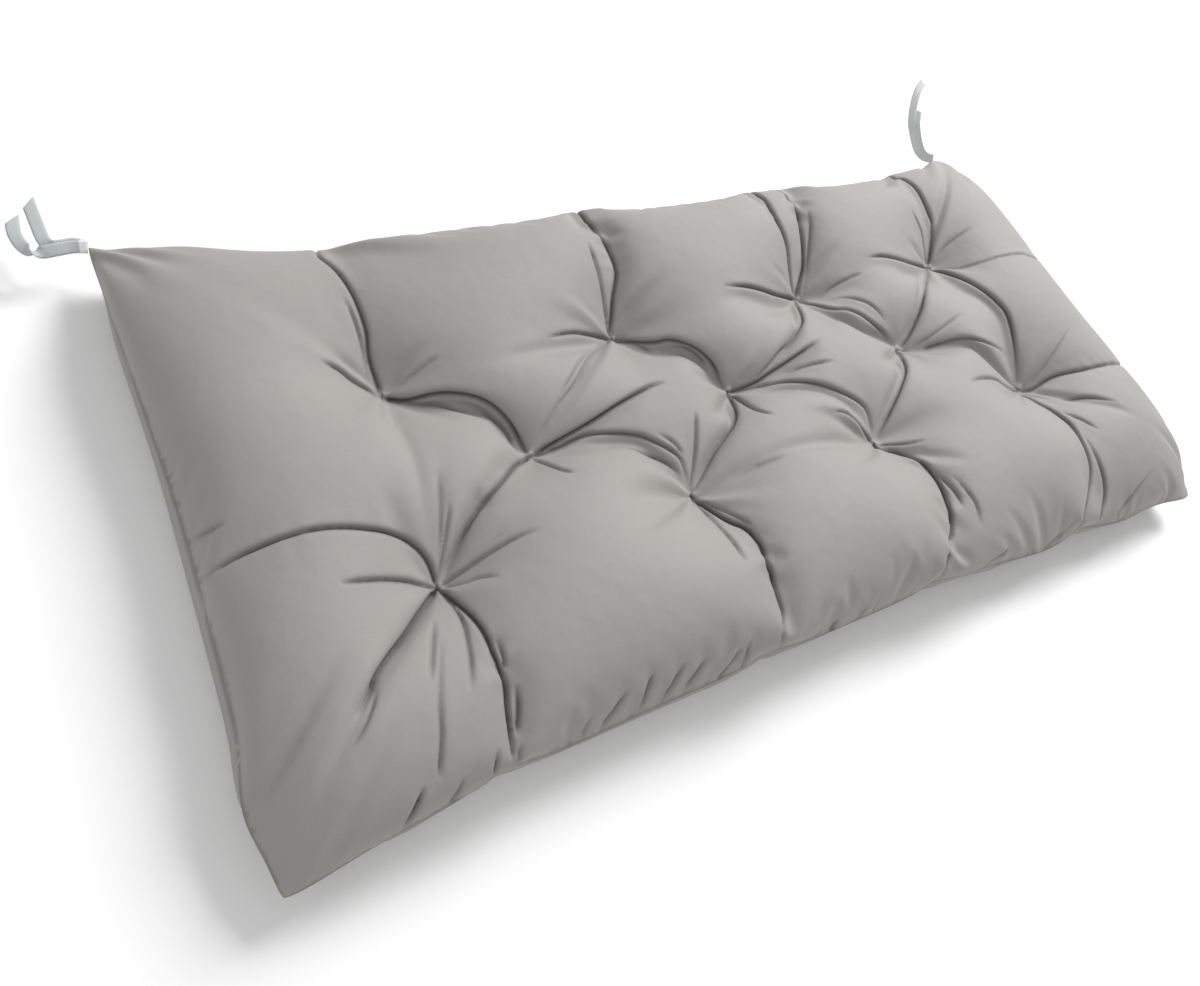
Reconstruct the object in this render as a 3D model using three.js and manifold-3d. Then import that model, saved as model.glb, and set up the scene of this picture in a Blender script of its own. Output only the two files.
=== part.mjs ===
// A tufted bench cushion lying on its back, with a folded tape tie at each of its two back corners.
// Millimetres, +Z up, +X along the bench, +Y toward the side with the ties. z = 0 is the surface
// that the cushion lies on.

import * as THREE from 'three';
import { mergeVertices } from 'three/addons/utils/BufferGeometryUtils.js';
import Module from 'manifold-3d';

const wasm = await Module();
wasm.setup();

// Driving sizes of the cushion

const LENGTH = 1000; // corner to corner along X
const DEPTH = 520; // corner to corner along Y
const SEAM_HEIGHT = 41; // the seam above the surface, along the middle of each side
const SEAM_HEIGHT_CORNER = 29;
const CROWN = 50; // a lobe's top above the seam
const BELLY = 64; // the underside's fullness below the seam, before the surface flattens it
const RIM_WIDTH = 95; // how far in from the seam the panels go on swelling
const RIM_SHARPNESS = 1.5; // 2 is a round edge, 1 is a knife edge
const PIT_DEPTH = 0.86; // share of the fullness that a tuft takes away
const PIT_REACH = 33; // how quickly a lobe rises out of a tuft
const OVERHANG = 12; // how far the underside stands out past the seam
const OVERHANG_WIDTH = 60;

// How far each side is drawn in between its corners, and at each fold that reaches it

const DRAWN_IN = { front: 16, back: 50, left: 2, right: 0 };
const DRAWN_IN_POWER = 6; // higher numbers keep a side straighter, with its corners standing out more
const NOTCH_DEPTH = { front: 5, back: 7, left: 0, right: 1 };
const NOTCH_WIDTH = 26;

// How far each corner is pulled out of a true rectangle, along X and Y. u and v name the corner.

const CORNER_SHIFTS = [
  { u: -1, v: -1, shift: [-6, -6] },
  { u: 1, v: -1, shift: [3, -14] },
];
const CORNER_SOFTENING = 2;
const CORNER_REACH = 14;

// The tufts, where one stitch pulls both panels together: x and y from the middle of the cushion

const TUFTS = {
  b1: [-329, 55],
  b2: [-110, 67],
  b3: [118, 72],
  b4: [328, 80],
  m1: [-235, -28],
  m2: [-23, -14],
  m3: [205, -13],
  f1: [-347, -111],
  f2: [-115, -101],
  f3: [100, -106],
  f4: [329, -95],
};

// The main folds. Each runs from a tuft through a middle point to another tuft, or to a place on a
// side. depth is the share of the fullness that the fold takes away, width is half the trough's.

const FOLDS = [
  { from: 'b1', via: [-333, 130], to: { side: 'back', at: -322 }, depth: 0.42, width: 18 },
  { from: 'b2', via: [-90, 135], to: { side: 'back', at: -76 }, depth: 0.42, width: 18 },
  { from: 'b3', via: [142, 130], to: { side: 'back', at: 176 }, depth: 0.42, width: 18 },
  { from: 'b4', via: [338, 145], to: { side: 'back', at: 340 }, depth: 0.4, width: 18 },
  { from: 'b4', via: [390, 54], to: { side: 'right', at: 57 }, depth: 0.38, width: 17 },
  { from: 'f4', via: [395, -103], to: { side: 'right', at: -99 }, depth: 0.38, width: 17 },
  { from: 'f1', via: [-405, -62], to: { side: 'left', at: -65 }, depth: 0.36, width: 17 },
  { from: 'f1', via: [-340, -185], to: { side: 'front', at: -345 }, depth: 0.42, width: 18 },
  { from: 'f2', via: [-103, -185], to: { side: 'front', at: -112 }, depth: 0.42, width: 18 },
  { from: 'f3', via: [106, -180], to: { side: 'front', at: 80 }, depth: 0.42, width: 18 },
  { from: 'f4', via: [315, -175], to: { side: 'front', at: 296 }, depth: 0.42, width: 18 },
  { from: 'b1', via: [-265, 12], to: 'm1', depth: 0.36, width: 17 },
  { from: 'b2', via: [-55, 27], to: 'm2', depth: 0.36, width: 17 },
  { from: 'b3', via: [160, 38], to: 'm3', depth: 0.36, width: 17 },
  { from: 'b4', via: [341, -5], to: 'f4', depth: 0.3, width: 17 },
  { from: 'm1', via: [-168, -42], to: 'f2', depth: 0.36, width: 17 },
  { from: 'm2', via: [52, -48], to: 'f3', depth: 0.36, width: 17 },
  { from: 'm3', via: [265, -38], to: 'f4', depth: 0.36, width: 17 },
  { from: 'm1', via: [-295, -65], to: 'f1', depth: 0.36, width: 17 },
  { from: 'm2', via: [-65, -60], to: 'f2', depth: 0.34, width: 17 },
  { from: 'm3', via: [145, -65], to: 'f3', depth: 0.34, width: 17 },
  { from: 'm1', via: [-185, 17], to: 'b2', depth: 0.26, width: 20 },
  { from: 'm2', via: [30, 5], to: 'b3', depth: 0.26, width: 20 },
  { from: 'm3', via: [250, 24], to: 'b4', depth: 0.26, width: 20 },
];
const FOLD_STEPS = 14;

// Steps of the cushion's surface, closer together toward the seam

const STEPS_ALONG = 72;
const STEPS_ACROSS = 38;
const STEP_GRADING = 0.3;
const STITCH_PULL = 17; // the nearest corners of the surface are gathered to each tuft's stitch

// The ties: one tape folded in half at its root, so each tie has two tails

const TAPE_WIDTH = 10;
const TAPE_THICKNESS = 1.2;
const TAPE_STEPS = 18;
const TAIL_CUT = 8; // how much longer one edge of a tail is, where it is cut on the slant

// turn is how far the tape's width is turned up from level, in degrees. Each tail is the points that
// it runs through, from the cushion's corner to its free end.

const TIES = {
  tie_left: {
    turn: 118,
    tails: [
      [[-493.5, 251.5, 30.2], [-499.3, 259.9, 29.5], [-508, 262, 30], [-516, 261, 30.5], [-523, 261.5, 31],
        [-527, 268, 32], [-528.5, 282, 34.5], [-530, 302, 38]],
      [[-494.1, 251, 30.2], [-499.9, 259.1, 29.5], [-509, 259.5, 30], [-520, 257, 29.5], [-531, 255, 28.5],
        [-539, 258, 28], [-544, 267, 28.5], [-546, 278, 30.5], [-545, 290, 33]],
    ],
  },
  tie_right: {
    turn: 135,
    tails: [
      [[493.5, 251.5, 30.2], [495.5, 259.5, 28.8], [494, 267, 27], [488, 275, 30], [482, 286, 40], [480, 299, 51],
        [486, 314, 61]],
      [[494.1, 251, 29.8], [496, 259, 28.2], [492, 268, 25.5], [485, 278, 29], [479, 290, 39], [476, 304, 50],
        [482, 320, 61], [492, 335, 72], [505, 345, 79]],
    ],
  },
};

// Colours and finish

const FINISHES = {
  cover: { color: 0xa6a59e, roughness: 0.78, metalness: 0 },
  tape: { color: 0xb9c0be, roughness: 0.7, metalness: 0 },
};

const coverMaterial = new THREE.MeshStandardMaterial(FINISHES.cover);
const tapeMaterial = new THREE.MeshStandardMaterial(FINISHES.tape);

// The outline: how far inward a side lies at a place along it

const notchesOf = (side) => FOLDS.filter((fold) => fold.to.side === side).map((fold) => fold.to.at);

const NOTCHES = {
  front: notchesOf('front'),
  back: notchesOf('back'),
  left: notchesOf('left'),
  right: notchesOf('right'),
};

function halfSpan(side) {
  return side === 'front' || side === 'back' ? LENGTH / 2 : DEPTH / 2;
}

function inward(side, at) {
  const share = Math.abs(at) / halfSpan(side);
  const fromCorner = halfSpan(side) - Math.abs(at);
  const bow = DRAWN_IN[side] * (1 - share ** DRAWN_IN_POWER);
  const corner = CORNER_SOFTENING * Math.exp(-fromCorner / CORNER_REACH);
  const notches = NOTCHES[side].map((notch) => Math.exp(-(((at - notch) / NOTCH_WIDTH) ** 2)));
  return bow + corner + NOTCH_DEPTH[side] * notches.reduce((sum, one) => sum + one, 0);
}

// A point of the plan from u and v, which run from -1 to 1 between the sides

function planPoint(u, v) {
  const x = (u * LENGTH) / 2;
  const y = (v * DEPTH) / 2;
  const acrossIn = inward(u < 0 ? 'left' : 'right', y) * Math.abs(u) ** 3 * Math.sign(u);
  const alongIn = inward(v < 0 ? 'front' : 'back', x) * Math.abs(v) ** 3 * Math.sign(v);
  const point = new THREE.Vector2(x - acrossIn, y - alongIn);
  for (const corner of CORNER_SHIFTS) {
    const nearness = ((1 + u * corner.u) * (1 + v * corner.v)) / 4;
    point.addScaledVector(new THREE.Vector2(...corner.shift), nearness ** 2);
  }
  return point;
}

// The folds as curves in plan

function endOfFold(fold) {
  if (typeof fold.to === 'string') return new THREE.Vector2(...TUFTS[fold.to]);
  const share = fold.to.at / halfSpan(fold.to.side);
  if (fold.to.side === 'front') return planPoint(share, -1);
  if (fold.to.side === 'back') return planPoint(share, 1);
  return planPoint(fold.to.side === 'left' ? -1 : 1, share);
}

const foldPaths = FOLDS.map((fold) => {
  const start = new THREE.Vector2(...TUFTS[fold.from]);
  const curve = new THREE.SplineCurve([start, new THREE.Vector2(...fold.via), endOfFold(fold)]);
  return { ...fold, points: curve.getPoints(FOLD_STEPS) };
});

function distanceToSegment(point, start, end) {
  const run = end.clone().sub(start);
  const share = THREE.MathUtils.clamp(point.clone().sub(start).dot(run) / run.lengthSq(), 0, 1);
  return point.distanceTo(start.clone().addScaledVector(run, share));
}

function distanceToPath(point, path) {
  let nearest = Infinity;
  for (let i = 1; i < path.length; i += 1) {
    nearest = Math.min(nearest, distanceToSegment(point, path[i - 1], path[i]));
  }
  return nearest;
}

// The share of its fullness that a panel keeps at a point, after the tufts and folds

function fullnessKept(point) {
  let kept = 1;
  for (const place of Object.values(TUFTS)) {
    const distance = point.distanceTo(new THREE.Vector2(...place));
    kept *= 1 - PIT_DEPTH * Math.exp(-distance / PIT_REACH);
  }
  let fold = 0;
  for (const { points, depth, width } of foldPaths) {
    fold = Math.max(fold, depth * Math.exp(-((distanceToPath(point, points) / width) ** 2)));
  }
  return kept * (1 - fold);
}

// How far the panels have swollen at a distance from one side, from 0 at the seam to 1

function swelling(distance) {
  const share = THREE.MathUtils.clamp(distance / RIM_WIDTH, 0, 1);
  return (1 - (1 - share) ** 2) ** (1 / RIM_SHARPNESS);
}

function seamHeight(u, v) {
  return SEAM_HEIGHT - (SEAM_HEIGHT - SEAM_HEIGHT_CORNER) * Math.abs(u * v) ** 4;
}

// How far the underside stands out past the seam at a distance from it

function overhang(distance) {
  const share = THREE.MathUtils.clamp(distance / OVERHANG_WIDTH, 0, 1);
  return OVERHANG * 4 * share * (1 - share);
}

// The cushion: two panels joined at the seam, as one filled solid

function graded(step, steps) {
  const share = (2 * step) / steps - 1;
  return (1 - STEP_GRADING) * share + STEP_GRADING * Math.sin((share * Math.PI) / 2);
}

function surfaceGrid() {
  const grid = [];
  for (let j = 0; j <= STEPS_ACROSS; j += 1) {
    for (let i = 0; i <= STEPS_ALONG; i += 1) {
      const u = graded(i, STEPS_ALONG);
      const v = graded(j, STEPS_ACROSS);
      grid.push({ u, v, plan: planPoint(u, v) });
    }
  }
  return grid;
}

function gatherToTufts(grid) {
  for (const place of Object.values(TUFTS)) {
    const tuft = new THREE.Vector2(...place);
    const distances = grid.map((corner) => corner.plan.distanceTo(tuft));
    const nearest = grid[distances.indexOf(Math.min(...distances))];
    const shift = tuft.clone().sub(nearest.plan);
    const centre = nearest.plan.clone();
    for (const corner of grid) {
      const share = Math.exp(-((corner.plan.distanceTo(centre) / STITCH_PULL) ** 2));
      corner.plan.addScaledVector(shift, share);
    }
  }
}

function topPoint({ u, v, plan, kept, rise }) {
  return [plan.x, plan.y, seamHeight(u, v) + CROWN * rise * kept];
}

function undersidePoint({ u, v, plan, kept, rise }) {
  const fromEnd = ((1 - Math.abs(u)) * LENGTH) / 2;
  const fromSide = ((1 - Math.abs(v)) * DEPTH) / 2;
  const outX = Math.sign(u) * overhang(fromEnd) * swelling(fromSide);
  const outY = Math.sign(v) * overhang(fromSide) * swelling(fromEnd);
  return [plan.x + outX, plan.y + outY, Math.max(0, seamHeight(u, v) - BELLY * rise * kept)];
}

// Each four-sided patch is split along its shorter diagonal

function patchTriangles(corners, positions) {
  const [a, b, c, d] = corners;
  const at = (index) => new THREE.Vector3().fromArray(positions, index * 3);
  if (at(a).distanceTo(at(c)) <= at(b).distanceTo(at(d))) return [a, b, c, a, c, d];
  return [a, b, d, b, c, d];
}

function cushionGeometry() {
  const grid = surfaceGrid();
  gatherToTufts(grid);
  for (const corner of grid) {
    const fromEnd = ((1 - Math.abs(corner.u)) * LENGTH) / 2;
    const fromSide = ((1 - Math.abs(corner.v)) * DEPTH) / 2;
    corner.rise = swelling(fromEnd) * swelling(fromSide);
    corner.kept = fullnessKept(corner.plan);
  }
  const positions = grid.flatMap(topPoint);
  const row = STEPS_ALONG + 1;
  const topIndex = (i, j) => j * row + i;
  const underIndex = grid.map((corner, index) => index);
  for (let j = 1; j < STEPS_ACROSS; j += 1) {
    for (let i = 1; i < STEPS_ALONG; i += 1) {
      underIndex[topIndex(i, j)] = positions.length / 3;
      positions.push(...undersidePoint(grid[topIndex(i, j)]));
    }
  }
  const triangles = [];
  for (let j = 0; j < STEPS_ACROSS; j += 1) {
    for (let i = 0; i < STEPS_ALONG; i += 1) {
      const patch = [topIndex(i, j), topIndex(i + 1, j), topIndex(i + 1, j + 1), topIndex(i, j + 1)];
      const under = patch.map((index) => underIndex[index]).reverse();
      triangles.push(...patchTriangles(patch, positions), ...patchTriangles(under, positions));
    }
  }
  const geometry = new THREE.BufferGeometry();
  geometry.setAttribute('position', new THREE.Float32BufferAttribute(positions, 3));
  geometry.setIndex(triangles);
  return geometry;
}

// A tape: a flat section swept along a curve, with its far end cut on the slant

function tapeGeometry(points, turn) {
  const curve = new THREE.CatmullRomCurve3(points.map((point) => new THREE.Vector3(...point)));
  const up = new THREE.Vector3(0, 0, 1);
  const angle = THREE.MathUtils.degToRad(turn);
  const positions = [];
  for (let step = 0; step <= TAPE_STEPS; step += 1) {
    const share = step / TAPE_STEPS;
    const middle = curve.getPointAt(share);
    const along = curve.getTangentAt(share);
    const level = up.clone().cross(along).normalize();
    const rising = along.clone().cross(level);
    const wide = level.multiplyScalar(Math.cos(angle)).addScaledVector(rising, Math.sin(angle));
    const thick = along.clone().cross(wide);
    const slant = step === TAPE_STEPS ? TAIL_CUT / 2 : 0;
    for (const [side, face] of [[-1, -1], [1, -1], [1, 1], [-1, 1]]) {
      const corner = middle.clone().addScaledVector(wide, (side * TAPE_WIDTH) / 2);
      corner.addScaledVector(thick, (face * TAPE_THICKNESS) / 2);
      corner.addScaledVector(along, side * slant);
      positions.push(...corner.toArray());
    }
  }
  return sweptGeometry(positions, TAPE_STEPS);
}

function sweptGeometry(positions, steps) {
  const triangles = [0, 3, 2, 0, 2, 1];
  for (let step = 0; step < steps; step += 1) {
    for (let corner = 0; corner < 4; corner += 1) {
      const a = step * 4 + corner;
      const b = step * 4 + ((corner + 1) % 4);
      triangles.push(a, b, b + 4, a, b + 4, a + 4);
    }
  }
  const last = steps * 4;
  triangles.push(last, last + 1, last + 2, last, last + 2, last + 3);
  const geometry = new THREE.BufferGeometry();
  geometry.setAttribute('position', new THREE.Float32BufferAttribute(positions, 3));
  geometry.setIndex(triangles);
  return geometry;
}

// Joins closed geometries into one solid

function toSolid(geometry) {
  const merged = mergeVertices(geometry);
  return new wasm.Manifold(new wasm.Mesh({
    numProp: 3,
    vertProperties: merged.attributes.position.array,
    triVerts: new Uint32Array(merged.index.array),
  }));
}

function joined(geometries) {
  const mesh = geometries.map(toSolid).reduce((whole, solid) => whole.add(solid)).getMesh();
  const geometry = new THREE.BufferGeometry();
  geometry.setAttribute('position', new THREE.Float32BufferAttribute(mesh.vertProperties, 3));
  geometry.setIndex(new THREE.Uint32BufferAttribute(mesh.triVerts, 1));
  return geometry;
}

// The object, moved so that the middle of its whole box stands on the origin

function namedMesh(name, geometry, material) {
  geometry.computeVertexNormals();
  const mesh = new THREE.Mesh(geometry, material);
  mesh.name = name;
  return mesh;
}

function benchCushion() {
  const group = new THREE.Group();
  group.add(namedMesh('cushion', cushionGeometry(), coverMaterial));
  for (const [name, { turn, tails }] of Object.entries(TIES)) {
    group.add(namedMesh(name, joined(tails.map((points) => tapeGeometry(points, turn))), tapeMaterial));
  }
  const middle = new THREE.Box3().setFromObject(group).getCenter(new THREE.Vector3());
  group.position.set(-middle.x, -middle.y, 0);
  return group;
}

export default benchCushion();
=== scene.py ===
# A tufted bench cushion lying on its back, with a folded tape tie at each of its two back corners.
#
# The cover is two panels of cloth sewn together at the seam. Each panel is a grid of points that is
# let settle over its filling, from a coarse grid to a fine one, held at the seam and at the tufts.
# Sizes are in millimetres from the middle of the cushion until they go into a mesh, in metres.

import math

import bpy
import numpy as np
from mathutils import Matrix, Vector


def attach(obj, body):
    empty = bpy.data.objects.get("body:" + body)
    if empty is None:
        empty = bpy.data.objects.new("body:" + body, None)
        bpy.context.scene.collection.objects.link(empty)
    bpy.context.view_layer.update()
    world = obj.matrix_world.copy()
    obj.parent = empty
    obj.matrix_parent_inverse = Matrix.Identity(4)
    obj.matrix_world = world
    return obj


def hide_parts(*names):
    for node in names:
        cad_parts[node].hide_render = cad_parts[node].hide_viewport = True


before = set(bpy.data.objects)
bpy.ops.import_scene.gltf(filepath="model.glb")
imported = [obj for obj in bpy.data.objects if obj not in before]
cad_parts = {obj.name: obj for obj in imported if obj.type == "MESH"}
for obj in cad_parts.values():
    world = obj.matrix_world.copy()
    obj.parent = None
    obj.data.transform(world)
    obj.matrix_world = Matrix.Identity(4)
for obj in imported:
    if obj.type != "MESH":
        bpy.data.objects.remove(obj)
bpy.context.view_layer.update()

# Sizes of the cushion

LENGTH = 1000.0
DEPTH = 520.0
SEAM_HEIGHT = 41.0
SEAM_HEIGHT_CORNER = 29.0
CROWN = 50.0
BELLY = 64.0
RIM_WIDTH = 95.0
RIM_SHARPNESS = 1.5
PIT_DEPTH = 0.86
PIT_REACH = 33.0
UNDER_OVERHANG = {"front": 8.0, "back": 16.0, "left": 11.0, "right": 20.0}
UPPER_OVERHANG = {"front": 4.0, "back": 0.0, "left": 0.0, "right": 7.0}
OVERHANG_WIDTH = 60.0
DRAWN_IN = {"front": 16.0, "back": 50.0, "left": 2.0, "right": 0.0}
DRAWN_IN_POWER = 6
NOTCH_DEPTH = {"front": 5.0, "back": 7.0, "left": 0.0, "right": 1.0}
NOTCH_WIDTH = 26.0
LOW_LOBE_AT = (-330.0, 190.0)  # the lobes beside the back left fold are filled less
LOW_LOBE_REACH = (110.0, 60.0)
LOW_LOBE_SHARE = 0.55
CORNER_SHIFTS = [((-1, -1), (-6.0, -6.0)), ((1, -1), (3.0, -14.0))]
CORNER_SOFTENING = {"front": (4.0, 7.0), "back": (2.0, 2.0), "left": (3.0, 2.0), "right": (7.0, 2.0)}
CORNER_REACH = 10.0
# Where the seam lies further in than its side's curve, or further out
SIDE_WAVES = [
    {"side": "front", "at": 225.0, "width": 55.0, "inward": -8.0},
    {"side": "front", "at": 350.0, "width": 60.0, "inward": -8.0},
    {"side": "back", "at": -320.0, "width": 75.0, "inward": 8.0},
    {"side": "back", "at": -76.0, "width": 28.0, "inward": 4.0},
    {"side": "left", "at": -205.0, "width": 30.0, "inward": -8.0},
    {"side": "left", "at": 30.0, "width": 120.0, "inward": 4.5},
    {"side": "right", "at": -165.0, "width": 60.0, "inward": 9.0},
    {"side": "right", "at": 100.0, "width": 40.0, "inward": 4.0},
]
# Towards the front of the left side the seam lies further in, and the lower panel stands out
LEFT_INSET = 3.0
LEFT_BULGE = 16.0
LEFT_BULGE_FROM = 90.0
LEFT_BULGE_RUN = 170.0
BULGE_START = 32.0  # how far from the front corner it is at its full size
CUSHION_MIDDLE = (19.773, -37.320)  # of the row's origin, from the middle of the cushion
MM = 0.001

TUFTS = {
    "b1": (-329, 55),
    "b2": (-110, 67),
    "b3": (118, 72),
    "b4": (328, 80),
    "m1": (-235, -28),
    "m2": (-23, -14),
    "m3": (205, -13),
    "f1": (-347, -111),
    "f2": (-115, -101),
    "f3": (100, -106),
    "f4": (329, -95),
}
TUFT_TOP = 48.0  # height of a stitch on the upper panel
TUFT_UNDER = 30.0
TUFT_RADIUS = 4.5

# The main folds: a tuft, a middle point, and a tuft or a place on a side.
# They shape the filling and the outline. pull is how strongly a fold is drawn down.

FOLD_COLUMNS = ("start", "via", "end", "pull")
FOLD_ROWS = [
    ("b1", [(-333, 130)], ("back", -322), 1.0),
    ("b2", [(-90, 135)], ("back", -76), 1.0),
    ("b3", [(142, 130)], ("back", 176), 1.0),
    ("b4", [(338, 145)], ("back", 340), 0.9),
    ("b4", [(390, 54)], ("right", 57), 0.8),
    ("f4", [(395, -103)], ("right", -99), 0.8),
    ("f1", [(-405, -62)], ("left", -65), 0.7),
    ("f1", [(-340, -185)], ("front", -345), 1.0),
    ("f2", [(-103, -185)], ("front", -112), 1.0),
    ("f3", [(106, -180)], ("front", 80), 1.0),
    ("f4", [(315, -175)], ("front", 296), 1.0),
    ("b1", [(-265, 12)], "m1", 0.8),
    ("b2", [(-55, 27)], "m2", 0.8),
    ("b3", [(160, 38)], "m3", 0.8),
    ("b4", [(341, -5)], "f4", 0.6),
    ("m1", [(-168, -42)], "f2", 0.8),
    ("m2", [(52, -48)], "f3", 0.8),
    ("m3", [(265, -38)], "f4", 0.8),
    ("m1", [(-295, -65)], "f1", 0.8),
    ("m2", [(-65, -60)], "f2", 0.7),
    ("m3", [(145, -65)], "f3", 0.7),
    ("m1", [(-185, 17)], "b2", 0.5),
    ("m2", [(30, 5)], "b3", 0.5),
    ("m3", [(250, 24)], "b4", 0.5),
]
FOLDS = [dict(zip(FOLD_COLUMNS, row)) for row in FOLD_ROWS]
FOLD_STEPS = 12

# The creases that show in the photo. places are tufts and pixels of the 1200 x 986 photo, laid on
# the panel where the camera sees them. pull draws the cloth down there while it settles, and depth
# is how far its sharp line is sunk afterwards, in millimetres. A row that ends in a side's name runs
# on to the seam there.

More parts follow.
